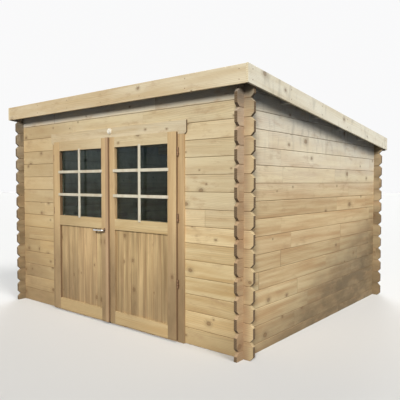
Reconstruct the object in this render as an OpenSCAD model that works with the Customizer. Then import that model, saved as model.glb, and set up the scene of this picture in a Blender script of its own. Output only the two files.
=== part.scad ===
/* [Log walls] */
// Width between the outer faces of the side walls
wall_w = 3060; // [2700:10:3600]
// Depth between the outer faces of the front and back walls
wall_d = 2770; // [2400:10:3200]
// Height that one log covers
log_h = 140; // [120:1:150]
// Thickness of a log
log_t = 28; // [24:1:45]
// Courses that run over the doorway
over_courses = 2; // [1:1:3]
// Length of a log end beyond the crossing wall
log_arm = 86; // [60:1:110]
// Bevel on the corners of a log end
end_bevel = 30; // [10:1:40]
// Bevel along the edges of a seam
seam_bevel = 4; // [1:0.5:6]
// Width of a log's tongue
tongue_w = 9; // [6:0.5:12]
// Height of a log's tongue
tongue_h = 6; // [3:0.5:10]
// Height left at the thin end of a log cut by the roof
tip_h = 8; // [7:1:20]
// Gap left where timbers meet
fit = 0.3; // [0.2:0.1:0.8]

/* [Roof] */
// Fall of the roof towards the back, in degrees
roof_pitch = 6.2; // [4:0.1:8]
// Thickness of the roof boards
deck_t = 18; // [14:1:25]
// Thickness of the roofing felt
felt_t = 3; // [2:0.5:5]
// Height of the felt turned up behind the fascias
felt_upstand = 40; // [20:1:50]
// Number of purlins
purlins = 4; // [3:1:5]
// Width of a purlin
purlin_w = 45; // [35:1:60]
// Height of a purlin
purlin_h = 95; // [80:1:110]
// Height of a purlin's ends, which pass through the walls
purlin_end_h = 55; // [40:1:60]
// Thickness of a fascia board
fascia_t = 19; // [15:1:25]
// Height of a fascia board
fascia_h = 140; // [110:1:160]
// Height of the fascia above the felt
fascia_rise = 55; // [20:1:70]
// Height of the board under the back eaves
back_fascia_h = 90; // [60:1:110]
// Gap between a log end and the fascia
fascia_gap = 2; // [1:0.5:10]

/* [Door frame] */
// Offset of the doorway from the middle of the front
door_x = 22; // [-60:1:60]
// Height of the doorway under the head
doorway_h = 1737; // [1690:1:1770]
// Thickness of a jamb between the doorway and the log ends
jamb_core = 32; // [24:1:45]
// Width of a jamb's face
jamb_w = 77; // [60:1:90]
// Distance that the frame stands out from the log faces
frame_proud = 16; // [12:1:25]
// Least height of the head under the log that it carries
head_core_h = 50; // [40:1:100]
// Height that the head laps over that log
head_lap = 31; // [15:1:50]
// Length of the head beyond each jamb
head_ear = 24; // [4:1:30]
// Bevel on the head's lower corners
head_bevel = 14; // [4:1:20]
// Height of the threshold
threshold_h = 14; // [8:1:25]

/* [Door leaves] */
// Thickness of a door leaf
leaf_t = 44; // [42:1:50]
// Thickness of the lip round a leaf, in front of the frame
lip_t = 22; // [19:1:28]
// Gap between the lip and the frame behind it
lip_clear = 5; // [5:0.5:8]
// Distance that the lip laps over a jamb
lip_lap = 13; // [8:1:20]
// Distance that the lip laps over the head
lip_rise = 20; // [8:1:24]
// Gap between the back of a leaf and the frame round it
leaf_gap = 6; // [5:0.5:10]
// Gap between the two leaves
meeting_gap = 7; // [6:0.5:10]
// Offset of the meeting line from the middle of the doorway
meeting_x = 28; // [-30:1:30]
// Width of a hinge stile
hinge_stile_w = 97; // [75:1:120]
// Width of the right leaf's meeting stile
meeting_stile_w = 63; // [55:1:100]
// Width of a glazed opening
window_w = 673; // [500:1:700]
// Height of a glazed opening
window_h = 664; // [500:1:720]
// Height of the top rail
top_rail_h = 95; // [60:1:110]
// Height of the middle rail
middle_rail_h = 100; // [80:1:130]
// Height of the bottom rail
bottom_rail_h = 113; // [70:1:130]
// Thickness of the boarded panel
panel_t = 16; // [14:1:18]
// Depth of the panel behind the face of the leaf
panel_setback = 20; // [12:1:22]
// Depth that the panel enters its frame
panel_tongue = 10; // [6:1:16]
// Boards in a panel
panel_boards = 7; // [5:1:9]
// Depth of the grooves between the boards
panel_groove = 4; // [2:0.5:6]
// Width of the cover strip over the meeting line
strip_w = 40; // [30:1:60]
// Thickness of the cover strip
strip_t = 20; // [8:1:24]

/* [Glazing] */
// Width of a glazing bar
bar_w = 28; // [12:1:32]
// Thickness of the glazing bars, which lie on the face of the leaf
bar_t = 8; // [6:1:12]
// Overlap of the glazing bars on the frame of the leaf
bar_lap = 12; // [6:1:20]
// Thickness of the glass
glass_t = 4; // [3:0.5:6]
// Depth that the glass enters its frame
glass_lap = 8; // [5:1:10]
// Width of the beading behind the glass
bead_w = 14; // [12:1:25]
// Thickness of the beading behind the glass
bead_t = 6; // [4:1:8]
// Panes across a leaf
pane_columns = 2; // [1:1:3]
// Panes up a leaf
pane_rows = 3; // [2:1:4]

/* [Ironmongery] */
// Outer diameter of a hinge knuckle
knuckle_d = 15; // [13:0.5:16]
// Diameter of a hinge pin
pin_d = 7; // [5:0.5:8]
// Length of a hinge
hinge_len = 70; // [60:1:100]
// Diameter of the stems that carry a hinge
stem_d = 9; // [7:0.5:11]
// Distance of the hinge axis behind the face of the leaf
hinge_inset = 10; // [8:0.5:11]
// Distance of the lowest hinge from the bottom of the leaf
hinge_low = 439; // [100:1:460]
// Distance of the highest hinge from the top of the leaf
hinge_high = 128; // [100:1:300]
// Hinges on a leaf
hinges = 3; // [2:1:4]
// Height of the handle's spindle
handle_z = 885; // [850:1:950]
// Gap between the handle's rose and the strip
rose_gap = 3; // [1:0.5:10]
// Length of the lever
lever_len = 142; // [90:1:160]
// Diameter of the lever
lever_d = 16; // [12:1:20]
// Radius of the lever's bends
lever_bend = 14; // [12:1:20]
// Straight return at the lever's tip
lever_return = 6; // [2:1:10]
// Distance of the lever's middle from the leaf
lever_reach = 40; // [36:1:60]
// Diameter of a handle rose
rose_d = 44; // [36:1:50]
// Thickness of a handle rose
rose_t = 8; // [5:1:10]
// Diameter of the turn-button on the head
button_d = 54; // [40:1:70]
// Diameter of the turn-button's raised middle
button_cap_d = 38; // [25:1:38]
// Thickness of the turn-button
button_t = 16; // [10:1:20]
// Distance of the turn-button's middle below the top of the head
button_drop = 33; // [28:1:50]

/* [Hidden] */
$fn = 48;

// Colours
log_colour = [0.80, 0.68, 0.46];
fascia_colour = [0.84, 0.79, 0.66];
frame_colour = [0.76, 0.62, 0.42];
leaf_colour = [0.74, 0.60, 0.40];
strip_colour = [0.66, 0.47, 0.33];
bar_colour = [0.84, 0.80, 0.70];
glass_colour = [0.25, 0.28, 0.30, 0.6];
felt_colour = [0.22, 0.23, 0.24];
steel_colour = [0.70, 0.71, 0.72];
hinge_colour = [0.42, 0.33, 0.26];
button_colour = [0.88, 0.86, 0.80];

// Small overlap that makes cuts run right through
cut = 1;

// Courses: the first log over the doorway rests on the head
door_courses = ceil((doorway_h + head_core_h) / log_h);
front_courses = door_courses + over_courses;

// Roof plane to which walls and purlins are cut: its height follows the depth
front_y = -wall_d / 2;
roof_z0 = front_courses * log_h;
fall = tan(roof_pitch);
function roof_z(y) = roof_z0 - fall * (y - front_y);
back_courses = ceil(roof_z(wall_d / 2) / log_h);
side_courses = ceil(roof_z0 / log_h - 0.5);

// Layers of the roof, as heights above the roof plane
deck_low = fit;
deck_high = deck_low + deck_t / cos(roof_pitch);
felt_low = deck_high + fit;
felt_high = felt_low + felt_t / cos(roof_pitch);
felt_edge = felt_high + felt_upstand;

// Edges of the roof
eaves = log_arm + fascia_gap;
deck_x = wall_w / 2 + eaves;
deck_y = wall_d / 2 + eaves;
fascia_y = deck_y + fascia_t;
fascia_top = roof_z(-deck_y) + felt_high + fascia_rise;
purlin_step = wall_d / (purlins + 1);
function purlin_y(i) = front_y + (i + 1) * purlin_step;
function purlin_foot(i, high) = roof_z(purlin_y(i) + purlin_w / 2) - high;

// Logs: the neck left between the notches is half as high as the log
notch_depth = log_h / 4;
front_notch = (wall_w - log_t) / 2;
side_notch = (wall_d - log_t) / 2;
front_end = wall_w / 2 + log_arm;
side_end = wall_d / 2 + log_arm;

// Leaves, measured from the middle of the doorway: side -1 is the left leaf and side 1 the right one
function meeting_edge(side) = meeting_x + side * meeting_gap / 2;
window_in = meeting_edge(1) + meeting_stile_w;
window_out = window_in + window_w;
leaf_edge = window_out + hinge_stile_w;
function window_x(side) = side > 0 ? window_in : -window_out;

// Door frame: the lip of a leaf laps over it
jamb_in = leaf_edge - lip_lap;
jamb_out = jamb_in + jamb_w;
log_stop = jamb_in + jamb_core;
head_core_top = door_courses * log_h - fit;
head_top = head_core_top + head_lap;

// Planes of the door, as depths along Y
frame_face = front_y - frame_proud;
frame_back = front_y + log_t + frame_proud;
lip_back = frame_face - lip_clear;
leaf_face = lip_back - lip_t;
leaf_back = leaf_face + leaf_t;
leaf_middle = leaf_face + leaf_t / 2;
panel_face = leaf_face + panel_setback;
bar_face = leaf_face - bar_t;
glass_y = leaf_back - bead_t - glass_t;

// Heights of the leaves
leaf_z0 = threshold_h + leaf_gap;
leaf_z1 = doorway_h + lip_rise;
window_z1 = leaf_z1 - top_rail_h;
window_z0 = window_z1 - window_h;
panel_z1 = window_z0 - middle_rail_h;
panel_z0 = leaf_z0 + bottom_rail_h;

// Hinges: the axis stands beside the lip, in front of the jamb
pin_fit = 0.3;
knuckle_gap = 1;
knuckle_clear = 1;
knuckle_len = (hinge_len - knuckle_gap) / 2;
hinge_x = leaf_edge + knuckle_d / 2 + knuckle_clear;
hinge_y = leaf_face + hinge_inset;
hinge_z0 = leaf_z0 + hinge_low;
hinge_step = (leaf_z1 - hinge_high - hinge_len - hinge_z0) / (hinges - 1);
function hinge_z(i) = hinge_z0 + i * hinge_step;

// Handle
strip_x1 = meeting_edge(-1);
strip_x0 = strip_x1 - strip_w;
spindle_x = strip_x0 - rose_gap - rose_d / 2;

// Building blocks

module box(lo, hi) {
    translate(lo) cube(hi - lo);
}

// Section of a log, with its outer face at the origin
module log_section() {
    b = seam_bevel;
    top = log_h - fit;
    t0 = (log_t - tongue_w) / 2;
    t1 = (log_t + tongue_w) / 2;
    groove = tongue_h + fit;
    polygon([
        [0, b], [b, 0], [t0 - fit, 0], [t0 - fit, groove], [t1 + fit, groove],
        [t1 + fit, 0], [log_t - b, 0], [log_t, b], [log_t, top - b], [log_t - b, top],
        [t1, top], [t1, top + tongue_h], [t0, top + tongue_h], [t0, top], [b, top], [0, top - b]
    ]);
}

// Outline of a log seen from outside, with bevelled or square ends
module log_outline(x0, x1, bevel0, bevel1) {
    high = log_h + tongue_h;
    rise0 = bevel0 > 0 ? bevel0 + tongue_h : 0;
    rise1 = bevel1 > 0 ? bevel1 + tongue_h : 0;
    polygon([
        [x0, bevel0], [x0 + bevel0, 0], [x1 - bevel1, 0], [x1, bevel1],
        [x1, high - rise1], [x1 - rise1, high], [x0 + rise0, high], [x0, high - rise0]
    ]);
}

// A log along X with its outer face at y = 0 and its bottom at z = 0
module log_piece(x0, x1, bevel0, bevel1, notches) {
    difference() {
        intersection() {
            translate([x0, 0, 0]) rotate([90, 0, 90]) linear_extrude(x1 - x0) log_section();
            translate([0, log_t, 0]) rotate([90, 0, 0]) linear_extrude(log_t)
                log_outline(x0, x1, bevel0, bevel1);
        }
        for (x = notches) {
            translate([x - log_t / 2 - fit, -cut, -cut])
                cube([log_t + 2 * fit, log_t + 2 * cut, notch_depth + cut]);
            translate([x - log_t / 2 - fit, -cut, log_h - notch_depth - fit])
                cube([log_t + 2 * fit, log_t + 2 * cut, notch_depth + tongue_h + cut]);
        }
    }
}

// Everything under the roof boards and above the ground
module under_roof() {
    reach = deck_y + cut;
    translate([-deck_x - cut, 0, 0]) rotate([90, 0, 90]) linear_extrude(2 * (deck_x + cut))
        polygon([[-reach, 0], [reach, 0], [reach, roof_z(reach)], [-reach, roof_z(-reach)]]);
}

module on_front() {
    translate([0, front_y, 0]) children();
}

module on_back() {
    translate([0, wall_d / 2, 0]) rotate([0, 0, 180]) children();
}

module on_right() {
    translate([wall_w / 2, 0, 0]) rotate([0, 0, 90]) children();
}

module on_side(side) {
    mirror([side < 0 ? 1 : 0, 0, 0]) children();
}

module at_door() {
    translate([door_x, 0, 0]) children();
}

module front_log(course) {
    translate([0, 0, course * log_h])
        log_piece(-front_end, front_end, end_bevel, end_bevel, [-front_notch, front_notch]);
}

// A side log starts half a log lower; where the roof cuts it off, it stops at its thin end
module side_log(course) {
    z = (course - 0.5) * log_h;
    tip = front_y + (roof_z0 - z - tip_h) / fall;
    whole = tip > side_end;
    translate([0, 0, z])
        log_piece(-side_end, whole ? side_end : tip, end_bevel, whole ? end_bevel : 0,
            whole ? [-side_notch, side_notch] : [-side_notch]);
}

// Purlin with its top on the roof plane, or the larger notch that takes it
module purlin_bar(i, high, grow) {
    y0 = purlin_y(i) - purlin_w / 2 - grow;
    y1 = purlin_y(i) + purlin_w / 2 + grow;
    foot = purlin_foot(i, high) - grow;
    translate([-deck_x, 0, 0]) rotate([90, 0, 90]) linear_extrude(2 * deck_x)
        polygon([[y0, foot], [y1, foot], [y1, roof_z(y1) + grow], [y0, roof_z(y0) + grow]]);
}

// Side wall, cut to the roof and round the purlins
module side_wall(side) {
    color(log_colour) on_side(side) for (course = [0:side_courses])
        difference() {
            intersection() {
                on_right() side_log(course);
                under_roof();
            }
            for (i = [0:purlins - 1])
                purlin_bar(i, purlin_end_h, fit);
        }
}

// Walls

module front_wall_left() {
    color(log_colour) on_front() for (course = [0:door_courses - 1])
        translate([0, 0, course * log_h])
            log_piece(-front_end, door_x - log_stop - fit, end_bevel, 0, [-front_notch]);
}

module front_wall_right() {
    color(log_colour) on_front() for (course = [0:door_courses - 1])
        translate([0, 0, course * log_h])
            log_piece(door_x + log_stop + fit, front_end, 0, end_bevel, [front_notch]);
}

module front_wall_top() {
    color(log_colour) for (course = [door_courses:front_courses - 1])
        intersection() {
            on_front() front_log(course);
            under_roof();
        }
}

module back_wall() {
    color(log_colour) for (course = [0:back_courses - 1])
        intersection() {
            on_back() front_log(course);
            under_roof();
        }
}

module left_wall() {
    side_wall(-1);
}

module right_wall() {
    side_wall(1);
}

// Roof

// Purlins, whole between the walls and with lower ends
module roof_purlins() {
    x = wall_w / 2 - log_t - fit;
    color(log_colour) for (i = [0:purlins - 1])
        difference() {
            purlin_bar(i, purlin_h, 0);
            for (side = [-1, 1])
                on_side(side) translate([x, purlin_y(i) - purlin_w, purlin_foot(i, purlin_h + cut)])
                    cube([deck_x - x + cut, 2 * purlin_w, purlin_h - purlin_end_h + cut]);
        }
}

// Layer that follows the roof between two depths, from one height above the roof plane to another
module roof_layer(x0, x1, y0, y1, low, high) {
    translate([x0, 0, 0]) rotate([90, 0, 90]) linear_extrude(x1 - x0)
        polygon([
            [y0, roof_z(y0) + low], [y1, roof_z(y1) + low],
            [y1, roof_z(y1) + high], [y0, roof_z(y0) + high]
        ]);
}

module roof_deck() {
    color(log_colour) roof_layer(-deck_x, deck_x, -deck_y, deck_y, deck_low, deck_high);
}

// Felt turned up behind the front and side fascias and down over the back eaves board
module roof_felt() {
    color(felt_colour) union() {
        roof_layer(-deck_x, deck_x, -deck_y, fascia_y, felt_low, felt_high);
        roof_layer(-deck_x, deck_x, -deck_y, -deck_y + felt_t, felt_low, felt_edge);
        for (x = [-deck_x, deck_x - felt_t])
            roof_layer(x, x + felt_t, -deck_y, fascia_y, felt_low, felt_edge);
        roof_layer(-deck_x, deck_x, fascia_y - felt_t, fascia_y, felt_low - felt_upstand, felt_high);
    }
}

module front_fascia() {
    color(fascia_colour)
        box([-deck_x, -fascia_y, fascia_top - fascia_h], [deck_x, -deck_y, fascia_top]);
}

// Side fascia, cut plumb at both ends; its top follows the roof
module side_fascia(side) {
    high = fascia_top - roof_z(-deck_y);
    color(fascia_colour) on_side(side)
        roof_layer(deck_x, deck_x + fascia_t, -fascia_y, fascia_y, high - fascia_h, high);
}

module left_fascia() {
    side_fascia(-1);
}

module right_fascia() {
    side_fascia(1);
}

// Board under the back edge of the felt
module back_fascia() {
    color(fascia_colour)
        roof_layer(-deck_x, deck_x, deck_y, fascia_y - felt_t - fit, deck_high - back_fascia_h, deck_high);
}

// Door frame

module door_head() {
    x = jamb_out + head_ear;
    z0 = doorway_h;
    color(frame_colour) at_door() union() {
        box([-log_stop, frame_face, z0], [log_stop, frame_back, head_core_top]);
        translate([0, front_y - fit, 0]) rotate([90, 0, 0]) linear_extrude(frame_proud - fit)
            polygon([
                [-x, z0 + head_bevel], [-x + head_bevel, z0], [x - head_bevel, z0],
                [x, z0 + head_bevel], [x, head_top], [-x, head_top]
            ]);
        box([-jamb_out, front_y + log_t + fit, z0], [jamb_out, frame_back, head_top]);
    }
}

// Post with a slot that takes the log ends
module jamb(side) {
    color(frame_colour) at_door() on_side(side) difference() {
        box([jamb_in, frame_face, 0], [jamb_out, frame_back, doorway_h]);
        box([log_stop, front_y - fit, -cut],
            [jamb_out + cut, front_y + log_t + fit, doorway_h + cut]);
    }
}

module left_jamb() {
    jamb(-1);
}

module right_jamb() {
    jamb(1);
}

module door_threshold() {
    color(frame_colour) at_door()
        box([-jamb_in, frame_face, 0], [jamb_in, frame_back, threshold_h]);
}

// Round button with a stepped face, seated on the head
module head_button() {
    z = head_top - button_drop;
    color(button_colour) translate([door_x, frame_face, z]) rotate([90, 0, 0]) union() {
        cylinder(d = button_d, h = button_t / 2);
        cylinder(d = button_cap_d, h = button_t);
    }
}

// Fixed half of the hinges: lower knuckle, pin and a stem that stands on the jamb
module hinge_pins(side) {
    color(hinge_colour) at_door() on_side(side) for (i = [0:hinges - 1])
        translate([hinge_x, hinge_y, hinge_z(i)]) union() {
            cylinder(d = knuckle_d, h = knuckle_len);
            cylinder(d = pin_d, h = hinge_len);
            translate([0, 0, knuckle_len / 2]) rotate([-90, 0, 0])
                cylinder(d = stem_d, h = frame_face - hinge_y);
        }
}

module left_hinge_pins() {
    hinge_pins(-1);
}

module right_hinge_pins() {
    hinge_pins(1);
}

// Moving half of the hinges: bored upper knuckle and a stem from the edge of the leaf
module hinge_leaves(side) {
    color(hinge_colour) at_door() on_side(side) for (i = [0:hinges - 1])
        translate([hinge_x, hinge_y, hinge_z(i) + knuckle_len + knuckle_gap]) difference() {
            union() {
                cylinder(d = knuckle_d, h = knuckle_len);
                translate([0, 0, knuckle_len / 2]) rotate([0, -90, 0])
                    cylinder(d = stem_d, h = hinge_x - leaf_edge);
            }
            translate([0, 0, -cut]) cylinder(d = pin_d + 2 * pin_fit, h = knuckle_len + 2 * cut);
        }
}

// Door leaves

// Room for the panel, whose edges are let into the frame round it
module panel_slot(side) {
    x0 = window_x(side);
    reach = panel_tongue + fit;
    box([x0 - reach, panel_face - fit, panel_z0 - reach],
        [x0 + window_w + reach, panel_face + panel_t + fit, panel_z1 + reach]);
}

// Step that takes the glass and its beading from behind
module glass_rebate(side) {
    x0 = window_x(side);
    box([x0 - glass_lap, glass_y, window_z0 - glass_lap],
        [x0 + window_w + glass_lap, leaf_back + cut, window_z1 + glass_lap]);
}

// Step behind the lip, along the hinged edge and the top
module lip_rebate(side) {
    edge = leaf_edge + cut;
    on_side(side)
        box([jamb_in - leaf_gap, lip_back, leaf_z0 - cut], [edge, leaf_back + cut, leaf_z1 + cut]);
    box([-edge, lip_back, doorway_h - leaf_gap], [edge, leaf_back + cut, leaf_z1 + cut]);
}

module leaf_timber(side, x0, x1, z0, z1) {
    color(leaf_colour) at_door() difference() {
        box([min(x0, x1), leaf_face, z0], [max(x0, x1), leaf_back, z1]);
        panel_slot(side);
        glass_rebate(side);
        lip_rebate(side);
    }
}

module leaf_rail(side, z0, z1) {
    leaf_timber(side, side * window_in, side * window_out, z0, z1);
}

module hinge_stile(side) {
    leaf_timber(side, side * window_out, side * leaf_edge, leaf_z0, leaf_z1);
}

module meeting_stile(side) {
    leaf_timber(side, side * window_in, meeting_edge(side), leaf_z0, leaf_z1);
}

// The left meeting stile is bored for the spindle
module left_meeting_stile() {
    difference() {
        meeting_stile(-1);
        spindle_bore();
    }
}

// Bore for the spindle through the leaf and its roses
module spindle_bore() {
    at_door() translate([spindle_x, leaf_back + rose_t + cut, handle_z]) rotate([90, 0, 0])
        cylinder(d = lever_d + 2 * pin_fit, h = leaf_t + 2 * (rose_t + cut));
}

// Panel of upright boards with V-grooves on both faces
module boarded_panel(side) {
    x0 = window_x(side) - panel_tongue;
    x1 = x0 + window_w + 2 * panel_tongue;
    y0 = panel_face;
    y1 = panel_face + panel_t;
    g = panel_groove;
    seams = [for (i = [1:panel_boards - 1]) x0 + panel_tongue + i * window_w / panel_boards];
    front = [for (x = seams) each [[x - g, y0], [x, y0 + g], [x + g, y0]]];
    last = len(seams) - 1;
    back = [for (i = [last:-1:0], x = [seams[i]]) each [[x + g, y1], [x, y1 - g], [x - g, y1]]];
    color(leaf_colour) at_door() translate([0, 0, panel_z0 - panel_tongue])
        linear_extrude(panel_z1 - panel_z0 + 2 * panel_tongue)
            polygon(concat([[x0, y0]], front, [[x1, y0], [x1, y1]], back, [[x0, y1]]));
}

// Bars that cross the opening on the face of the leaf
module glazing_cross(side) {
    x0 = window_x(side);
    pane_w = (window_w - (pane_columns - 1) * bar_w) / pane_columns;
    pane_h = (window_h - (pane_rows - 1) * bar_w) / pane_rows;
    union() {
        for (i = [1:1:pane_columns - 1])
            translate([x0 + i * (pane_w + bar_w) - bar_w, bar_face, window_z0 - bar_lap])
                cube([bar_w, bar_t, window_h + 2 * bar_lap]);
        for (i = [1:1:pane_rows - 1])
            translate([x0 - bar_lap, bar_face, window_z0 + i * (pane_h + bar_w) - bar_w])
                cube([window_w + 2 * bar_lap, bar_t, bar_w]);
    }
}

// Beading that holds the glass from behind
module glass_bead(side) {
    reach = glass_lap - fit;
    x0 = window_x(side) - reach;
    x1 = window_x(side) + window_w + reach;
    z0 = window_z0 - reach;
    z1 = window_z1 + reach;
    difference() {
        box([x0, glass_y + glass_t, z0], [x1, leaf_back, z1]);
        box([x0 + bead_w, glass_y, z0 + bead_w], [x1 - bead_w, leaf_back + cut, z1 - bead_w]);
    }
}

module glazing_bars(side) {
    color(bar_colour) at_door() {
        glazing_cross(side);
        glass_bead(side);
    }
}

module leaf_glass(side) {
    reach = glass_lap - fit;
    x0 = window_x(side);
    color(glass_colour) at_door()
        box([x0 - reach, glass_y, window_z0 - reach],
            [x0 + window_w + reach, glass_y + glass_t, window_z1 + reach]);
}

module cover_strip() {
    color(strip_colour) at_door()
        box([strip_x0, leaf_face - strip_t, leaf_z0], [strip_x1, leaf_face, leaf_z1]);
}

// Roses for the spindle on both faces of the left leaf
module handle_roses() {
    color(hinge_colour) difference() {
        for (y = [leaf_face, leaf_back + rose_t])
            at_door() translate([spindle_x, y, handle_z]) rotate([90, 0, 0])
                cylinder(d = rose_d, h = rose_t);
        spindle_bore();
    }
}

// Half of the handle: spindle and a lever that turns back to the leaf at its tip
module lever() {
    r = lever_bend;
    knee_y = r - lever_reach - leaf_t / 2;
    tip_x = lever_d / 2 - lever_len;
    rotate([90, 0, 0]) cylinder(d = lever_d, h = -knee_y);
    translate([-r, knee_y, 0]) rotate([0, 0, -90]) rotate_extrude(angle = 90) translate([r, 0])
        circle(d = lever_d);
    translate([tip_x + r, knee_y - r, 0]) rotate([0, 90, 0]) cylinder(d = lever_d, h = -tip_x - 2 * r);
    translate([tip_x + r, knee_y, 0]) rotate([0, 0, 180]) rotate_extrude(angle = 90) translate([r, 0])
        circle(d = lever_d);
    translate([tip_x, knee_y + lever_return, 0]) rotate([90, 0, 0]) cylinder(d = lever_d, h = lever_return);
}

// Levers on both sides of the leaf, on one spindle
module door_handle() {
    color(steel_colour) at_door() translate([spindle_x, leaf_middle, handle_z]) union() {
        lever();
        mirror([0, 1, 0]) lever();
    }
}

front_wall_left();
front_wall_right();
front_wall_top();
back_wall();
left_wall();
right_wall();
roof_purlins();
roof_deck();
roof_felt();
front_fascia();
left_fascia();
right_fascia();
back_fascia();
door_head();
left_jamb();
right_jamb();
door_threshold();
head_button();
left_hinge_pins();
right_hinge_pins();
hinge_stile(-1);  // left_hinge_stile
left_meeting_stile();
leaf_rail(-1, window_z1, leaf_z1);  // left_top_rail
leaf_rail(-1, panel_z1, window_z0);  // left_middle_rail
leaf_rail(-1, leaf_z0, panel_z0);  // left_bottom_rail
boarded_panel(-1);  // left_panel
glazing_bars(-1);  // left_glazing_bars
leaf_glass(-1);  // left_glass
hinge_leaves(-1);  // left_hinge_leaves
cover_strip();
handle_roses();
hinge_stile(1);  // right_hinge_stile
meeting_stile(1);  // right_meeting_stile
leaf_rail(1, window_z1, leaf_z1);  // right_top_rail
leaf_rail(1, panel_z1, window_z0);  // right_middle_rail
leaf_rail(1, leaf_z0, panel_z0);  // right_bottom_rail
boarded_panel(1);  // right_panel
glazing_bars(1);  // right_glazing_bars
leaf_glass(1);  // right_glass
hinge_leaves(1);  // right_hinge_leaves
door_handle();
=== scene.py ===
import math
import random

import bmesh
import bpy
from mathutils import Matrix, Vector


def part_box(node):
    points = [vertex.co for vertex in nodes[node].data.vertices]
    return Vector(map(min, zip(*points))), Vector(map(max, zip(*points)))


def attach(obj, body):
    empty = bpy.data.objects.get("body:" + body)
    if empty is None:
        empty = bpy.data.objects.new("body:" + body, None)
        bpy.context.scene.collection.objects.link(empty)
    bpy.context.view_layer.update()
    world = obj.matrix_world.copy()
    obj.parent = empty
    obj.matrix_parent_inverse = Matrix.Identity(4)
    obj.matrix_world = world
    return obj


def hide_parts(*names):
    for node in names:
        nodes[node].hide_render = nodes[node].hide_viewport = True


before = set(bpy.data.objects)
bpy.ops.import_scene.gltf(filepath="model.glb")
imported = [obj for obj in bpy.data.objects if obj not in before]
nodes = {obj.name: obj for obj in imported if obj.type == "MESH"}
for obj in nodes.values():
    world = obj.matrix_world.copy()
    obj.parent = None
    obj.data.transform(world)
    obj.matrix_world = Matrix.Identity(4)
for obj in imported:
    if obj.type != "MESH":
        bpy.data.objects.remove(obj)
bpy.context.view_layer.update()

chance = random.Random(7)

# Sizes of the shed in metres; places come from the boxes of its solids
LOG_H = 0.140
LOG_ARM = 0.086
PURLINS = 4
PURLIN_W = 0.045
DECK_T = 0.0181
BOARDS = 34
FELT_T = 0.003
FELT_WIDTH = 0.86
FELT_LAP = 0.080
PANEL_BOARDS = 7
SCREW_R = 0.0042
NAIL_R = 0.0050

deck_low, deck_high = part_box("roof_deck")
felt_low, felt_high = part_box("roof_felt")
fall = (deck_high.z - deck_low.z - DECK_T) / (deck_high.y - deck_low.y)
board_w = (deck_high.x - deck_low.x) / BOARDS
wall_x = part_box("front_wall_top")[1].x - LOG_ARM
wall_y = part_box("right_wall")[1].y - LOG_ARM


def deck_top(y):
    """Height of the upper face of the roof boards at a depth."""
    return deck_high.z - fall * (y - deck_low.y)


# Colours


def srgb(red, green, blue):
    """A colour as it is seen, from 0 to 255, turned into linear light."""
    def linear(value):
        value /= 255
        return value / 12.92 if value <= 0.04045 else ((value + 0.055) / 1.055) ** 2.4
    return (linear(red), linear(green), linear(blue), 1)


HONEY = srgb(224, 204, 158)
HONEY_DARK = srgb(196, 166, 116)
SAND = srgb(216, 196, 154)
SAND_DARK = srgb(186, 154, 112)
FRAME = srgb(205, 178, 134)
FRAME_DARK = srgb(181, 151, 110)
CREAM = srgb(228, 218, 190)
CREAM_DARK = srgb(206, 188, 152)
PALE = srgb(244, 240, 222)
PALE_DARK = srgb(228, 219, 194)
PANEL = srgb(214, 186, 138)
PANEL_DARK = srgb(160, 133, 94)
BROWN = srgb(188, 160, 116)
BROWN_DARK = srgb(158, 130, 90)
RUST = srgb(200, 168, 132)
RUST_DARK = srgb(176, 144, 110)
BAR = srgb(212, 208, 190)
BAR_DARK = srgb(198, 190, 168)
ARM_DARK = srgb(150, 122, 96)
OLIVE = srgb(172, 149, 110)
# Darker brown narrow sides, partly painted shade of the gap beside them
EDGE_BROWN_SHADE = srgb(106, 82, 60)
KNOT = srgb(118, 88, 58)
KNOT_RIM = srgb(80, 62, 46)
SEAM = srgb(120, 92, 60)
# Painted shade on down-facing bevels
UNDERSIDE_SHADE = srgb(70, 54, 38)
END = srgb(120, 100, 76)
END_DARK = srgb(84, 68, 50)
# Dark weathered brown, also painted shade on the left of the front
WEATHERED_AND_SHADED = srgb(138, 116, 86)
# Dark grey-brown: side walls darker towards the lower back, and painted shade on the left and back log ends
GREYED_AND_SHADED = srgb(116, 99, 74)
# Grey of rain marks high up, and of painted shade on the topmost log ends under the eaves
STAIN_AND_SHADE = srgb(128, 120, 106)
# Pale grey of the greyed top logs, and painted shade under the eaves
EAVES_GREY_AND_SHADE = srgb(196, 195, 188)
# Bluish grey painted shade under the eaves, on the walls, purlins and purlin ends
SHADE_SLATE = srgb(174, 182, 190)
SMUDGE = srgb(168, 138, 104)
# Dark painted shade of the soffit under the eaves
SOFFIT_SHADE = srgb(74, 66, 56)
PINK = srgb(206, 170, 132)


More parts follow.
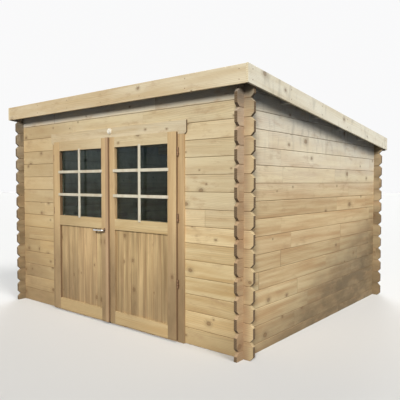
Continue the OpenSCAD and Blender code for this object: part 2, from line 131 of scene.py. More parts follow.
class Graph:
    """The nodes of one material, or of the world; sockets and plain numbers may be mixed."""

    def __init__(self, name, library=bpy.data.materials):
        self.owner = library.new(name)
        self.owner.use_nodes = True
        self.tree = self.owner.node_tree
        self.tree.nodes.clear()

    def node(self, kind, inputs=(), **settings):
        made = self.tree.nodes.new("ShaderNode" + kind)
        for key, value in settings.items():
            setattr(made, key, value)
        for key, value in dict(inputs).items():
            self.plug(made.inputs[key], value)
        return made

    def plug(self, socket, value):
        if isinstance(value, bpy.types.NodeSocket):
            self.tree.links.new(value, socket)
        else:
            socket.default_value = value

    def math(self, operation, *values):
        return self.node("Math", enumerate(values), operation=operation).outputs[0]

    def vector(self, operation, first, second=(0, 0, 0)):
        return self.node("VectorMath", {0: first, 1: second}, operation=operation).outputs

    def add(self, first, *others):
        for other in others:
            first = self.math("ADD", first, other)
        return first

    def times(self, first, *others):
        for other in others:
            first = self.math("MULTIPLY", first, other)
        return first

    def step(self, value, start, end, low=0.0, high=1.0):
        """Runs smoothly from low at start to high at end."""
        inputs = {"Value": value, "From Min": start, "From Max": end, "To Min": low, "To Max": high}
        return self.node("MapRange", inputs, interpolation_type="SMOOTHSTEP").outputs[0]

    def blend(self, amount, first, second, mode="MIX"):
        made = self.node("Mix", data_type="RGBA", blend_type=mode)
        self.plug(made.inputs[0], amount)
        for socket, colour in zip((s for s in made.inputs if s.type == "RGBA"), (first, second)):
            self.plug(socket, colour)
        return next(s for s in made.outputs if s.type == "RGBA")

    def shade(self, colour, amount):
        """The colour made darker or lighter by a factor."""
        grey = self.node("CombineColor", {0: amount, 1: amount, 2: amount}).outputs[0]
        return self.blend(1.0, colour, grey, "MULTIPLY")

    def point(self, x, y, z):
        return self.node("CombineXYZ", {0: x, 1: y, 2: z}).outputs[0]

    def parts(self, vector):
        return self.node("SeparateXYZ", {0: vector}).outputs

    def noise(self, vector, detail=2.0, roughness=0.5):
        inputs = {"Vector": vector, "Scale": 1.0, "Detail": detail, "Roughness": roughness}
        return self.node("TexNoise", inputs).outputs[0]

    def grit(self, scale, detail=3.0, roughness=0.5):
        """Noise over the object, with its own scale along each axis."""
        place = self.node("TexCoord").outputs["Object"]
        return self.noise(self.vector("MULTIPLY", place, scale)[0], detail, roughness)

    def dice(self, key):
        """Three random numbers that stay the same for one key."""
        colour = self.node("TexWhiteNoise", {"W": key}, noise_dimensions="1D").outputs["Color"]
        return self.node("SeparateColor", {0: colour}).outputs

    def surface(self, colour, roughness, height=None, depth=0.001, constants=()):
        """Ends the material with a principled shader, and bump where a height is given."""
        inputs = {"Base Color": colour, "Roughness": roughness, **dict(constants)}
        if height is not None:
            bump = self.node("Bump", {"Strength": 1.0, "Distance": depth, "Height": height})
            inputs["Normal"] = bump.outputs[0]
        shader = self.node("BsdfPrincipled", inputs)
        self.node("OutputMaterial", {"Surface": shader.outputs[0]})
        return self.owner

    def seen_directly(self):
        """1 where the camera sees it, also in metal or through glass, and 0 for light that spreads."""
        path = self.node("LightPath").outputs
        seen = self.math("MAXIMUM", path["Is Camera Ray"], path["Is Glossy Ray"])
        return self.math("MAXIMUM", seen, path["Is Transmission Ray"])


# Timber


class Timber(Graph):
    """Sawn softwood; axes names its grain, width and thickness, such as "xzy"."""

    def __init__(self, name, axes, seed, lean):
        super().__init__(name)
        place = self.node("TexCoord").outputs
        axis = dict(zip("xyz", self.parts(place["Object"])))
        facing = dict(zip("xyz", self.parts(place["Normal"])))
        self.seed = seed
        self.place = place["Object"]
        self.u, v, self.w = (axis[letter] for letter in axes)
        self.v = self.add(v, self.times(self.u, lean))
        self.end = self.step(self.math("ABSOLUTE", facing[axes[0]]), 0.75, 0.95)
        self.edge = self.step(self.math("ABSOLUTE", facing[axes[1]]), 0.75, 0.95)
        # Slanted faces that point downwards, such as the lower bevels of log ends, get painted shade
        slanted = self.step(self.math("ABSOLUTE", facing[axes[0]]), 0.45, 0.62)
        self.under = self.times(slanted, self.step(facing["z"], -0.35, -0.60))

    def split_boards(self, pitch, origin):
        """Numbers the boards across the width and marks the seams between them."""
        self.board = 0.0
        self.seam = 0.0
        if pitch:
            across = self.math("DIVIDE", self.math("SUBTRACT", self.v, origin), pitch)
            self.board = self.math("FLOOR", across)
            off_edge = self.times(self.math("PINGPONG", across, 0.5), pitch)
            self.seam = self.step(off_edge, 0.0008, 0.0035, 1.0, 0.0)
        self.board_dice = self.dice(self.add(self.times(self.board, 1.618), self.seed))

    def cut_lengths(self, joint):
        """Finger joints along each board; every length starts at another place in the grain."""
        self.length_dice = self.board_dice
        self.joint_line = 0.0
        if joint:
            along = self.add(self.math("DIVIDE", self.u, joint), self.times(self.board_dice[0], 9.0))
            along = self.add(along, self.times(self.math("SINE", self.times(along, 2.4)), 0.3))
            number = self.add(self.times(self.board, 7.13), self.times(self.math("FLOOR", along), 3.77))
            self.length_dice = self.dice(self.add(number, self.seed))
            off_joint = self.times(self.math("PINGPONG", along, 0.5), joint)
            shown = self.step(self.length_dice[1], 0.45, 0.55)
            self.joint_line = self.times(self.step(off_joint, 0.0008, 0.0030, 1.0, 0.0), shown)
        self.u = self.add(self.u, self.times(self.length_dice[0], 40.0))
        self.v = self.add(self.v, self.times(self.length_dice[1], 7.0))

    def scatter_knots(self, row, share):
        """Ragged knots in a loose row of cells along each board."""
        cell = 0.30
        cells = self.point(self.math("DIVIDE", self.u, cell), self.math("DIVIDE", self.v, row), 0.0)
        spot = self.node("TexVoronoi", {"Vector": cells, "Scale": 1.0}, voronoi_dimensions="2D").outputs
        gap = self.vector("SUBTRACT", spot["Position"], cells)[0]
        luck = self.node("SeparateColor", {0: spot["Color"]}).outputs
        there = self.step(luck[0], 1 - share, 1 - share + 0.02)
        radius = self.add(0.005, self.times(luck[1], luck[1], 0.015))
        ragged = self.noise(self.point(self.times(self.u, 70.0), self.times(self.v, 90.0), 0.0), 2.0)

        def reach(lengthwise):
            scaled = self.vector("MULTIPLY", gap, (cell * lengthwise, row, 0))[0]
            return self.math("DIVIDE", self.vector("LENGTH", scaled)["Value"], radius)
        spread = self.add(reach(0.75), self.times(ragged, 0.9), -0.45)
        self.knot = self.times(self.step(spread, 0.60, 1.10, 1.0, 0.0), there)
        self.rim = self.times(self.step(spread, 0.45, 0.9), self.step(spread, 0.95, 1.3, 1.0, 0.0), there)
        self.halo = self.times(self.step(spread, 0.8, 3.4, 1.0, 0.0), there)
        self.flame = self.times(self.step(reach(0.30), 1.0, 5.5, 1.0, 0.0), there)

    def grow(self):
        """Bands of colour, growth rings and fibres along the grain."""
        def stretched(along, across, detail, roughness=0.5):
            return self.noise(self.point(self.times(self.u, along), self.times(self.v, across),
                                         self.times(self.w, across)), detail, roughness)
        self.bands = stretched(0.9, 15.0, 3.0, 0.55)
        self.blotch = stretched(2.6, 6.0, 3.0, 0.6)
        self.smudge = stretched(5.0, 14.0, 5.0, 0.68)
        self.stripe = stretched(1.4, 42.0, 3.0, 0.6)
        self.fibre = stretched(14.0, 420.0, 2.0, 0.6)
        wander = stretched(0.7, 5.0, 2.0)
        phase = self.add(self.times(self.v, 85.0), self.times(wander, 11.0), self.times(self.halo, 1.6))
        turn = self.math("FRACT", phase)
        self.late = self.times(self.step(turn, 0.30, 0.88), self.step(turn, 0.90, 1.0, 1.0, 0.0))

    def sawn_end(self, light, dark):
        """Rings round a heart that lies off to one side."""
        heart = self.add(self.v, self.times(self.board_dice[2], 0.12))
        away = self.vector("LENGTH", self.point(heart, self.w, 0.0))["Value"]
        rings = self.math("PINGPONG", self.add(self.times(away, 170.0), self.times(self.blotch, 1.5)), 1.0)
        return self.blend(self.step(rings, 0.1, 0.9), light, dark)

    def wood_colour(self, light, dark, contrast):
        """Pale and dark wood in bands, some of it pinker, and paler round the knots."""
        colour = self.blend(self.step(self.bands, 0.32, 0.70), light, dark)
        colour = self.blend(self.times(self.step(self.blotch, 0.50, 0.80), 0.30 * contrast), colour, dark)
        colour = self.blend(self.times(self.board_dice[1], 0.20), colour, PINK)
        return self.blend(self.times(self.flame, 0.30), colour, light)

    def washed(self, colour, washes):
        """Tints along directions, in patches."""
        patchy = self.step(self.blotch, 0.25, 0.75, 0.70, 1.15)
        for direction, start, end, tint, amount in washes:
            how_far = self.vector("DOT_PRODUCT", self.place, direction)["Value"]
            colour = self.blend(self.times(self.step(how_far, start, end), patchy, amount), colour, tint)
        return colour

    def grained(self, colour, contrast, streaks):
        """Each length's own tone, fibres, growth rings and stripes."""
        tone = self.step(self.length_dice[2], 0.0, 1.0, 1 - 0.11 * contrast, 1 + 0.05 * contrast)
        fibres = self.step(self.fibre, 0.2, 0.8, 1.03, 0.95)
        rings = self.step(self.late, 0.0, 1.0, 1.02, 1 - 0.11 * contrast)
        colour = self.shade(colour, self.times(tone, fibres, rings))
        if streaks:
            colour = self.shade(colour, self.step(self.stripe, 0.32, 0.68, 1 + streaks, 1 - streaks))
        return colour

    def marked(self, colour, smudges, stains):
        """Smudges, knots, and rain marks high up."""
        colour = self.blend(self.step(self.smudge, 0.52, 0.74, 0.0, smudges), colour, SMUDGE)
        colour = self.blend(self.times(self.halo, 0.32), colour, KNOT)
        colour = self.blend(self.times(self.knot, 0.52), colour, KNOT)
        colour = self.blend(self.times(self.rim, 0.36), colour, KNOT_RIM)
        if stains:
            runs = self.step(self.grit((15, 15, 6), 2.0, 0.5), 0.48, 0.76)
            high = self.step(self.parts(self.place)[2], 1.40, 1.85)
            colour = self.blend(self.times(runs, high, stains), colour, STAIN_AND_SHADE)
        return colour

    def cut_faces(self, colour, ends, edge):
        """Narrow sides, sawn ends, painted shade on the undersides of bevelled ends, and seams."""
        if edge:
            colour = self.blend(self.times(self.edge, 0.85), colour, edge)
        colour = self.blend(self.end, colour, self.sawn_end(*ends))
        # Painted shade on the down-facing bevels
        colour = self.blend(self.times(self.under, 0.85), colour, UNDERSIDE_SHADE)
        lines = self.math("MAXIMUM", self.seam, self.times(self.joint_line, 0.8))
        return self.blend(self.times(lines, 0.55), colour, SEAM)


def timber(name, light, dark, axes, seed, pitch=0.0, origin=0.0, joint=0.0, knots=0.26, lean=0.0, washes=(),
           contrast=1.0, ends=(END, END_DARK), edge=None, stains=0.0, smudges=0.45, streaks=0.0):
    """Pitch and origin split the wood into boards, and joint is the usual length between finger joints.

    Each wash tints it along a direction: (direction, start, end, colour, amount). Ends and edge tint
    the sawn ends and the narrow sides, stains is how much rain has marked it high up, smudges is how
    mottled and streaks how striped it is.
    """
    g = Timber(name, axes, seed, lean)
    g.split_boards(pitch, origin)
    g.cut_lengths(joint)
    g.scatter_knots(pitch or 0.16, knots)
    g.grow()
    colour = g.washed(g.wood_colour(light, dark, contrast), washes)
    colour = g.marked(g.grained(colour, contrast, streaks), smudges, stains)
    colour = g.cut_faces(colour, ends, edge)
    rough = g.add(0.52, g.times(g.bands, 0.14), g.times(g.fibre, 0.12))
    height = g.add(g.times(g.fibre, 0.5), g.times(g.late, 0.35), g.times(g.knot, -0.4),
                   g.times(g.joint_line, -0.8))
    return g.surface(colour, rough, height, 0.0009, {"Specular IOR Level": 0.28})


# Other materials


def clear_glass():
    g = Graph("clear_glass")
    dust = g.grit((9, 9, 5), 5.0, 0.6)
    colour = g.blend(g.step(dust, 0.35, 0.75), srgb(176, 186, 186), srgb(150, 160, 158))
    rough = g.step(dust, 0.3, 0.8, 0.01, 0.07)
    return g.surface(colour, rough, constants={"Transmission Weight": 1.0, "IOR": 1.22})


def satin_steel():
    g = Graph("satin_steel")
    brush = g.grit((160, 900, 900), 3.0, 0.6)
    stain = g.grit((60, 60, 60))
    colour = g.blend(g.step(stain, 0.45, 0.80), srgb(206, 207, 208), srgb(150, 148, 144))
    rough = g.add(0.22, g.times(brush, 0.16), g.times(stain, 0.08))
    return g.surface(colour, rough, brush, 0.00008, {"Metallic": 1.0})


def bronzed_steel():
    g = Graph("bronzed_steel")
    stain = g.grit((90, 90, 90), 4.0, 0.6)
    worn = g.grit((300, 300, 300))
    colour = g.blend(g.step(stain, 0.35, 0.70), srgb(140, 108, 82), srgb(92, 70, 54))
    colour = g.blend(g.step(worn, 0.60, 0.75, 0.0, 0.5), colour, srgb(176, 150, 124))
    return g.surface(colour, g.add(0.34, g.times(stain, 0.2)), worn, 0.0001, {"Metallic": 0.7})


def mineral_felt():
    g = Graph("mineral_felt")
    place = g.node("TexCoord").outputs["Object"]
    grains = g.node("TexVoronoi", {"Vector": place, "Scale": 620.0}).outputs
    chip = g.node("SeparateColor", {0: grains["Color"]}).outputs[0]
    weather = g.grit((3, 1.2, 3), 5.0, 0.6)
    colour = g.blend(g.step(chip, 0.1, 0.95), srgb(52, 56, 58), srgb(112, 116, 116))
    colour = g.blend(g.step(weather, 0.45, 0.75, 0.0, 0.45), colour, srgb(92, 94, 84))
    rough = g.step(chip, 0.0, 1.0, 0.82, 0.96)
    height = g.add(g.times(grains["Distance"], -1.0), g.times(chip, 0.6))
    return g.surface(colour, rough, height, 0.0012, {"Specular IOR Level": 0.25})


def pale_enamel():
    g = Graph("pale_enamel")
    speck = g.grit((140, 140, 140), 4.0)
    colour = g.blend(g.step(speck, 0.4, 0.7), srgb(240, 236, 224), srgb(222, 214, 196))
    return g.surface(colour, g.add(0.24, g.times(speck, 0.14)), speck, 0.0002)


# Directions, and washes: log ends, painted shade under the eaves, upper and lower logs, painted shade on
# the front's left
UP = (0, 0, 1)
LEFT = (-1, 0, 0)
RIGHT = (1, 0, 0)
FRONT = (0, -1, 0)
BACK = (0, 1, 0)
FAR_DOWN = (0, 0.35, -1)
LEFT_DOWN = (-1, 0, -1)
RIGHT_DOWN = (1, 0, -1)
UP_SLOPE = (0, fall, 1)
RIGHT_UP = (1, 0, 1)
FRONT_UP = (0, -1, 1)


def log_end(direction, reach, tint, amount):
    """Browner log ends beyond a crossing wall."""
    return (direction, reach - 0.012, reach - 0.001, tint, amount)


def shaded_outside(direction, wall, tint, amount):
    """Painted shade on timber under the eaves, beyond the outer face of a wall."""
    return (direction, wall - 0.005, wall + 0.005, tint, amount)


top_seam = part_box("front_wall_top")[1].z - LOG_H
front_wash = [
    # The LEFT and LEFT_DOWN washes are painted shade on the left of the front; the others pale the upper
    # logs and darken the lower ones
    (UP, 0.7, 1.3, CREAM, 0.42), (LEFT, 0.3, 1.2, BROWN, 0.70), (UP, 0.50, 0.02, BROWN, 0.75),
    (LEFT_DOWN, 0.2, 1.2, WEATHERED_AND_SHADED, 0.75), (RIGHT_DOWN, 0.9, 1.5, WEATHERED_AND_SHADED, 0.50),
    # The top log greyed, partly painted shade under the front eaves; above it painted shade right under the
    # fascia
    (UP, top_seam - 0.015, top_seam + 0.025, EAVES_GREY_AND_SHADE, 0.65),
    (UP, top_seam + 0.03, top_seam + 0.09, SHADE_SLATE, 0.45),
]
# How far out the roof boards lie along UP_SLOPE, which is square to them
roof_line = deck_high.z + fall * deck_low.y
side_wash = [
    # Paler upper logs, and darker towards the lower back
    (UP, 1.10, 1.60, PALE, 0.55), (FAR_DOWN, -0.85, -0.05, GREYED_AND_SHADED, 1.0),
    # Painted shade under the side eaves: grey near the roof line, bluish grey nearest to it
    (UP_SLOPE, roof_line - 0.45, roof_line - 0.10, EAVES_GREY_AND_SHADE, 0.65),
    (UP_SLOPE, roof_line - 0.20, roof_line - 0.07, SHADE_SLATE, 0.55),
]
front_ends = [
    # Right log ends browner, paler at the tips; left ones darker with painted shade
    log_end(RIGHT, wall_x, ARM_DARK, 0.70), log_end(LEFT, wall_x, GREYED_AND_SHADED, 0.85),
    (RIGHT, wall_x + 0.01, wall_x + 0.08, HONEY, 0.50),
    # Painted shade on the topmost log ends under the eaves
    (RIGHT_UP, wall_x + top_seam - 0.18, wall_x + top_seam + 0.14, STAIN_AND_SHADE, 0.80),
]
# Back log ends darker, partly painted shade
back_ends = [log_end(RIGHT, wall_x, GREYED_AND_SHADED, 0.85), log_end(LEFT, wall_x, GREYED_AND_SHADED, 0.85)]
right_ends = [
    # Front log ends browner; back ones darker, partly painted shade
    log_end(FRONT, wall_y, ARM_DARK, 0.75), log_end(BACK, wall_y, GREYED_AND_SHADED, 0.85),
    # Painted shade on the topmost log ends under the eaves
    (FRONT_UP, wall_y + top_seam - 0.11, wall_y + top_seam + 0.19, STAIN_AND_SHADE, 0.70),
]
# The left wall's log ends darker with painted shade
left_ends = [log_end(FRONT, wall_y, GREYED_AND_SHADED, 0.85), log_end(BACK, wall_y, GREYED_AND_SHADED, 0.85)]
# Painted shade on the purlins and roof boards beyond the walls, under the eaves
purlin_shade = [shaded_outside(RIGHT, wall_x, SHADE_SLATE, 0.9), shaded_outside(LEFT, wall_x, SHADE_SLATE, 0.9)]
soffit_shade = [
    shaded_outside(RIGHT, wall_x, SOFFIT_SHADE, 0.8), shaded_outside(LEFT, wall_x, SOFFIT_SHADE, 0.8),
    shaded_outside(FRONT, wall_y, SOFFIT_SHADE, 0.8), shaded_outside(BACK, wall_y, SOFFIT_SHADE, 0.8),
]
frame_wash = [(LEFT, 0.0, 1.0, BROWN, 0.50), (UP, 1.15, 0.35, WEATHERED_AND_SHADED, 0.90)]
rail_wash = [
    (UP, 1.3, 1.6, CREAM, 0.35), (LEFT, 0.0, 0.9, BROWN, 0.55), (UP, 1.4, 1.0, BROWN, 0.40),
    (LEFT_DOWN, -0.9, -0.3, OLIVE, 0.60),
]
panel_wash = [(UP, 0.75, 0.15, WEATHERED_AND_SHADED, 0.65), (LEFT_DOWN, -0.4, 0.3, WEATHERED_AND_SHADED, 0.30)]
window_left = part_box("left_top_rail")[0].x
window_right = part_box("right_top_rail")[0].x
panel_w = (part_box("left_top_rail")[1].x - window_left) / PANEL_BOARDS
purlin_low, purlin_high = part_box("roof_purlins")
purlin_step = (purlin_high.y - purlin_low.y - PURLIN_W) / (PURLINS - 1)
purlin_edge = purlin_low.y + PURLIN_W / 2 - purlin_step / 2

# The same look on each side, with its own knots and tones
fascia = dict(light=CREAM, dark=CREAM_DARK, ends=(CREAM_DARK, SAND_DARK), smudges=0.5)
pale_fascia = dict(light=PALE, dark=PALE_DARK, ends=(CREAM, CREAM_DARK), stains=0.30, smudges=0.2)
honey = dict(light=HONEY, dark=HONEY_DARK)
sand = dict(light=SAND, dark=SAND_DARK)
long_log = dict(axes="xzy", pitch=LOG_H, joint=1.6, knots=0.55, smudges=0.6)
front_log = dict(washes=front_wash + front_ends, **honey, **long_log)
back_log = dict(washes=front_wash + back_ends, **sand, **long_log)
side_log = dict(axes="yzx", pitch=LOG_H, origin=-LOG_H / 2, joint=1.3, stains=0.34, contrast=0.75, **sand)
looks = {
    "front_wall_left": timber("front_left_logs", seed=11.0, **front_log),
    "front_wall_right": timber("front_right_logs", seed=12.0, **front_log),
    "front_wall_top": timber("front_top_logs", seed=13.0, **front_log),
    "back_wall": timber("back_logs", seed=14.0, **back_log),
    "left_wall": timber("left_logs", seed=15.0, washes=side_wash + left_ends, **side_log),
    "right_wall": timber("right_logs", seed=16.0, washes=side_wash + right_ends, **side_log),
    # Purlins carry painted shade beyond the walls and on their sawn ends
    "roof_purlins": timber("purlin_wood", axes="xyz", seed=21.0, pitch=purlin_step, origin=purlin_edge,
                           washes=purlin_shade, ends=(SHADE_SLATE, SHADE_SLATE), **sand),
    "front_fascia": timber("front_fascia_wood", axes="xzy", seed=31.0,
                           washes=[(LEFT, -2.0, 1.2, BROWN, 0.48)], **fascia),
    "back_fascia": timber("back_fascia_wood", axes="xzy", seed=32.0, **fascia),
    "left_fascia": timber("left_fascia_wood", axes="yzx", seed=33.0, lean=fall, **pale_fascia),
    "right_fascia": timber("right_fascia_wood", axes="yzx", seed=34.0, lean=fall, **pale_fascia),
    "door_head": timber("head_wood", axes="xzy", seed=41.0, light=CREAM, dark=CREAM_DARK,
                        washes=[(LEFT, -1.0, 1.0, HONEY_DARK, 0.4)]),
    "door_threshold": timber("threshold_wood", BROWN, BROWN_DARK, "xyz", 42.0),
    # The strip's narrow sides darker brown, partly painted shade
    "cover_strip": timber("strip_wood", RUST, RUST_DARK, "zxy", 43.0, knots=0.15, edge=EDGE_BROWN_SHADE,
                          washes=[(UP, 0.8, 0.1, WEATHERED_AND_SHADED, 0.5)]),
}
stile = dict(axes="zxy", washes=frame_wash, light=FRAME, dark=FRAME_DARK)
rail = dict(axes="xzy", washes=rail_wash, **honey)
panel = dict(axes="zxy", pitch=panel_w, washes=panel_wash, contrast=1.4, streaks=0.13, light=PANEL,
             dark=PANEL_DARK)
bar = dict(axes="zxy", knots=0.0, contrast=0.5, light=BAR, dark=BAR_DARK)
leaf_parts = {
    # The hinge stiles' narrow sides darker brown, partly painted shade of the gap to the jamb
    "jamb": stile, "hinge_stile": dict(edge=EDGE_BROWN_SHADE, **stile), "meeting_stile": stile, "top_rail": rail,
    "middle_rail": rail, "bottom_rail": rail, "panel": panel, "glazing_bars": bar,
}
seed = 50.0
for side, window_x in (("left", window_left), ("right", window_right)):
    for part, look in leaf_parts.items():
        seed += 1
        origin = window_x if part == "panel" else 0.0
        looks[f"{side}_{part}"] = timber(f"{side}_{part}_wood", seed=seed, origin=origin, **look)

glass = clear_glass()
steel = satin_steel()
bronze = bronzed_steel()
felt = mineral_felt()
board_wood = timber("roof_board_wood", axes="yxz", seed=71.0, pitch=board_w, origin=deck_low.x,
                    washes=soffit_shade, **sand)
looks["head_button"] = pale_enamel()
looks["door_handle"] = steel
looks["handle_roses"] = bronze
for side in ("left", "right"):
    looks[side + "_glass"] = glass
    looks[side + "_hinge_pins"] = bronze
    looks[side + "_hinge_leaves"] = bronze

# Soft edges, as wide as planed timber, bar stock or ground glass has them
edges = {"_glass": 0.0004, "_glazing_bars": 0.0018, "hinge_pins": 0.0006, "hinge_leaves": 0.0006,
         "handle_roses": 0.0015, "door_handle": 0.0010, "head_button": 0.0030, "_wall": 0.0012}
EDGE = 0.0020


def soften(piece, width):
    """Rounds the edges of a piece and leaves its mesh as it is."""
    weld = piece.modifiers.new("weld", "WELD")
    weld.merge_threshold = 0.00002
    bevel = piece.modifiers.new("bevel", "BEVEL")
    bevel.width = width
    bevel.segments = 2
    bevel.limit_method = "ANGLE"
    bevel.angle_limit = math.radians(34)
    normals = piece.modifiers.new("normals", "WEIGHTED_NORMAL")
    normals.weight = 90


for name, node in nodes.items():
    if name in ("roof_deck", "roof_felt"):
        continue
    node.data.materials.clear()
    node.data.materials.append(looks[name])
    soften(node, next((width for part, width in edges.items() if part in name), EDGE))


# Meshes made here


def piece_from(name, mesh_maker, material, body, smooth=False):
    """Makes one object from a function that fills a bmesh."""
    made = bmesh.new()
    mesh_maker(made)
    bmesh.ops.recalc_face_normals(made, faces=made.faces)
    mesh = bpy.data.meshes.new(name)
    made.to_mesh(mesh)
    made.free()
    mesh.materials.append(material)
    for face in mesh.polygons:
        face.use_smooth = smooth
    piece = bpy.data.objects.new(name, mesh)
    bpy.context.scene.collection.objects.link(piece)
    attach(piece, body)
    return piece


def prism(made, section, place):
    """Closed prism: place(point, end) puts each point of the section at end 0 and 1."""
    rings = [[made.verts.new(place(point, end)) for point in section] for end in (0, 1)]
    made.faces.new(rings[0])
    made.faces.new(rings[1][::-1])
    for i in range(len(section)):
        j = (i + 1) % len(section)
        made.faces.new((rings[0][i], rings[1][i], rings[1][j], rings[0][j]))


def roof_boards(made):
    """Boards laid down the slope, with V-joints on the underside."""
    gap = 0.0004
    v_joint = 0.004
    for i in range(BOARDS):
        x0 = deck_low.x + i * board_w + gap
        x1 = x0 + board_w - 2 * gap
        rise = chance.uniform(-0.0004, 0)
        section = [
            (x0 + v_joint, -DECK_T), (x1 - v_joint, -DECK_T), (x1, -DECK_T + v_joint),
            (x1, rise), (x0, rise), (x0, -DECK_T + v_joint),
        ]

        def place(point, end):
            y = deck_high.y if end else deck_low.y
            return (point[0], y, deck_top(y) + point[1])
        prism(made, section, place)


boards = piece_from("roof_boards", roof_boards, board_wood, "shed")
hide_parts("roof_deck")


def lofted_sheet(made, rows):
    """Closed sheet through rows of points, with its thickness downwards or inwards as each pair says."""
    over = [[made.verts.new(top) for top, _ in row] for row in rows]
    under = [[made.verts.new(low) for _, low in row] for row in rows]
    for r in range(len(rows) - 1):
        for c in range(len(rows[0]) - 1):
            for skin, flip in ((over, 1), (under, -1)):
                quad = (skin[r][c], skin[r + 1][c], skin[r + 1][c + 1], skin[r][c + 1])
                made.faces.new(quad[::flip])
    for r in range(len(rows) - 1):
        for c in (0, -1):
            made.faces.new((over[r][c], over[r + 1][c], under[r + 1][c], under[r][c]))
    for c in range(len(rows[0]) - 1):
        for r in (0, -1):
            made.faces.new((over[r][c], over[r][c + 1], under[r][c + 1], under[r][c]))


def across_felt():
    """Points across the roof: (x, height, inward x, inward height), turned up at both sides."""
    edge = deck_high.x - 0.0005
    turn = 0.012
    stand = 0.036
    bends = 4
    flat = 60
    side = [(edge, stand, -1, 0), (edge, turn, -1, 0)]
    for k in range(1, bends):
        angle = k / bends * math.pi / 2
        side.append((edge - turn * (1 - math.cos(angle)), turn * (1 - math.sin(angle)),
                     -math.cos(angle), math.sin(angle)))
    inner = edge - turn
    middle = [(inner - 2 * inner * k / flat, 0.0, 0, 1) for k in range(flat + 1)]
    other = [(-x, z, -nx, nz) for x, z, nx, nz in reversed(side)]
    return side + middle + other


def felt_sheets(made):
    """Felt laid in sheets from the back eaves up, each lapping the one below it."""
    section = across_felt()
    steps = 10
    lift = 0.0008
    wave = 0.0007
    back = felt_high.y - 0.001
    front = deck_low.y + 0.001
    number = 0
    while back > front:
        far = max(back - FELT_WIDTH - FELT_LAP, front)
        rows = []
        for r in range(steps + 1):
            y = back + (far - back) * r / steps
            lap = max(0.0, 1 - (back - y) / (FELT_LAP * 1.4)) if number else 0.0
            row = []
            for x, z, nx, nz in section:
                ripple = wave * math.sin(9 * x + 2.3 * number) * math.sin(6 * y + number)
                low = Vector((x + nx * 0.0002, y, deck_top(y) + lift + z + ripple + lap * FELT_T))
                row.append((low + Vector((nx, 0, nz)) * FELT_T, low))
            rows.append(row)
        lofted_sheet(made, rows)
        back -= FELT_WIDTH
        number += 1


def felt_drip(made):
    """Strip over the back eaves, turned down over the board."""
    edge = deck_high.x - 0.016
    reach = 0.12
    drop = 0.040
    lift = 0.0064
    wave = 0.0006
    steps = 60
    outer = felt_high.y
    profile = [(outer - reach, 0.0, 0, 1), (outer - 0.006, 0.0, 0, 1), (outer - 0.002, -0.002, 0.7, 0.7),
               (outer - 0.0003, -0.006, 1, 0), (outer - 0.0003, -drop, 1, 0)]
    rows = []
    for y, z, ny, nz in profile:
        row = []
        for k in range(steps + 1):
            x = edge - 2 * edge * k / steps
            ripple = 0.0 if nz else wave * math.sin(14 * x)
            top = Vector((x, y, deck_top(y) + lift + z + ripple))
            row.append((top, top - Vector((0, ny, nz)) * FELT_T * 0.8))
        rows.append(row)
    lofted_sheet(made, rows)


sheets = piece_from("felt_sheets", felt_sheets, felt, "shed", smooth=True)
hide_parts("roof_felt")
piece_from("felt_drip", felt_drip, felt, "shed", smooth=True)


def screw_head(made, centre, normal, radius, sides=14):
    """Domed head with a small pit in the middle, sunk a little into what it holds."""
    z = Vector(normal).normalized()
    x = z.orthogonal().normalized()
    y = z.cross(x)
    matrix = Matrix((x, y, z)).transposed()
    centre = Vector(centre)

    def ring(reach, rise):
        turns = [2 * math.pi * k / sides for k in range(sides)]
        points = [Vector((reach * math.cos(t), reach * math.sin(t), rise)) for t in turns]
        return [made.verts.new(centre + matrix @ p) for p in points]

    profile = [(1.0, -0.0008), (1.0, 0.0004), (0.82, 0.0009), (0.42, 0.0011)]
    rings = [ring(radius * share, rise) for share, rise in profile]
    for low, high in zip(rings, rings[1:]):
        for i in range(sides):
            j = (i + 1) % sides
            made.faces.new((low[i], low[j], high[j], high[i]))
    made.faces.new(rings[0][::-1])
    slot = made.verts.new(centre + matrix @ Vector((0, 0, -0.0004)))
    for i in range(sides):
        made.faces.new((rings[-1][i], rings[-1][(i + 1) % sides], slot))


def screws(places, radius):
    """A mesh maker for heads of one size, each given as (centre, normal)."""
    def maker(made):
        for centre, normal in places:
            screw_head(made, centre, normal, radius)
    return maker


def spaced(start, end, count):
    """Even places from start to end, with both of them."""
    return [start + (end - start) * k / (count - 1) for k in range(count)]


def fascia_screws():
    """Pairs of screws along the front and side boards round the roof, and single ones along the back."""
    places = []
    inset = 0.06
    rows = (0.032, 0.108)
    back_row = 0.024
    across = 7
    along = 6
    low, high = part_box("front_fascia")
    for x in spaced(low.x + inset, high.x - inset, across):
        places += [((x, low.y, low.z + row), FRONT) for row in rows]
    for side, sign in (("left_fascia", -1), ("right_fascia", 1)):
        low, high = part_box(side)
        board_top = high.z + fall * low.y
        outer = high.x if sign > 0 else low.x
        for y in spaced(low.y + inset, high.y - inset, along):
            top = board_top - fall * y
            places += [((outer, y, top - row), (sign, 0, 0)) for row in rows]
    low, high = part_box("back_fascia")
    for x in spaced(low.x + inset, high.x - inset, across):
        places.append(((x, high.y, low.z + back_row), BACK))
    return places


piece_from("fascia_screws", screws(fascia_screws(), SCREW_R), bronze, "shed")


def felt_nails():
    """Clout nails along the lap of each sheet and the eaves."""
    places = []
    lift = 0.0072
    inset = 0.06
    count = 32
    off_eaves = 0.10
    off_lap = 0.020
    back = felt_high.y - FELT_WIDTH
    rows = [felt_high.y - off_eaves]
    while back > deck_low.y + FELT_LAP:
        rows.append(back - off_lap)
        back -= FELT_WIDTH
    for y in rows:
        for x in spaced(deck_low.x + inset, deck_high.x - inset, count):
            places.append(((x, y, deck_top(y) + lift), UP_SLOPE))
    return places


piece_from("felt_nails", screws(felt_nails(), NAIL_R), steel, "shed")


# Stage, light and camera


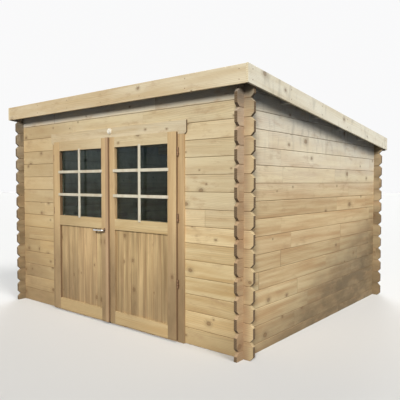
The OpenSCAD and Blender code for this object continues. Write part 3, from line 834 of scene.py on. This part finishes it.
def make_floor():
    """Pale to the eye, but it throws little light back on the shed."""
    g = Graph("pale_floor")
    colour = g.blend(g.seen_directly(), (0.08, 0.08, 0.08, 1), (0.715, 0.715, 0.71, 1))
    material = g.surface(colour, 0.9, constants={"Specular IOR Level": 0.1})
    half = 60.0
    corners = [(-half, -half, 0), (half, -half, 0), (half, half, 0), (-half, half, 0)]
    mesh = bpy.data.meshes.new("floor")
    mesh.from_pydata(corners, [], [(0, 1, 2, 3)])
    mesh.materials.append(material)
    floor = bpy.data.objects.new("floor", mesh)
    bpy.context.scene.collection.objects.link(floor)


def make_world():
    """A dim bluish sky, with a pale backdrop where it is seen."""
    g = Graph("studio", bpy.data.worlds)
    sky = g.node("Background", {"Color": (0.62, 0.80, 1.0, 1), "Strength": 0.11})
    backdrop = g.node("Background", {"Color": (0.95, 0.95, 0.955, 1), "Strength": 1.0})
    mixed = g.node("MixShader", {0: g.seen_directly(), 1: sky.outputs[0], 2: backdrop.outputs[0]})
    g.node("OutputWorld", {"Surface": mixed.outputs[0]})
    bpy.context.scene.world = g.owner


def sun(name, towards_light, strength, softness, colour):
    """A far lamp; softness is its width in degrees."""
    lamp = bpy.data.lights.new(name, "SUN")
    lamp.energy = strength
    lamp.angle = math.radians(softness)
    lamp.color = colour
    holder = bpy.data.objects.new(name, lamp)
    holder.rotation_euler = Vector(towards_light).to_track_quat("Z", "Y").to_euler()
    bpy.context.scene.collection.objects.link(holder)


def inside_lamp():
    """A dim glow that shows the walls through the windows."""
    lamp = bpy.data.lights.new("inside", "POINT")
    lamp.energy = 12.0
    lamp.color = (0.50, 0.78, 1.0)
    lamp.shadow_soft_size = 0.4
    holder = bpy.data.objects.new("inside", lamp)
    holder.location = (0.3, -0.3, 1.5)
    holder.visible_camera = False
    holder.visible_glossy = False
    holder.visible_transmission = False
    bpy.context.scene.collection.objects.link(holder)


def make_camera():
    """Place, turn and lens as fitted to the photo."""
    yaw = 0.6871
    pitch = -0.036
    data = bpy.data.cameras.new("camera")
    data.lens = 42.89
    data.sensor_width = 36.0
    holder = bpy.data.objects.new("camera", data)
    holder.location = (3.531, -4.339, 1.334)
    holder.rotation_euler = (math.pi / 2 + pitch, 0, yaw)
    bpy.context.scene.collection.objects.link(holder)
    bpy.context.scene.camera = holder


make_floor()
make_world()
sun("key", (0.56, -1.0, 0.52), strength=3.6, softness=16, colour=(1.0, 0.97, 0.92))
sun("side_fill", (1.0, -0.2, 1.1), strength=1.6, softness=20, colour=(1.0, 0.98, 0.95))
sun("back_fill", (-0.7, 1.0, 0.6), strength=2.4, softness=40, colour=(0.97, 0.98, 1.0))
inside_lamp()
make_camera()
bpy.context.scene.view_settings.view_transform = "Standard"
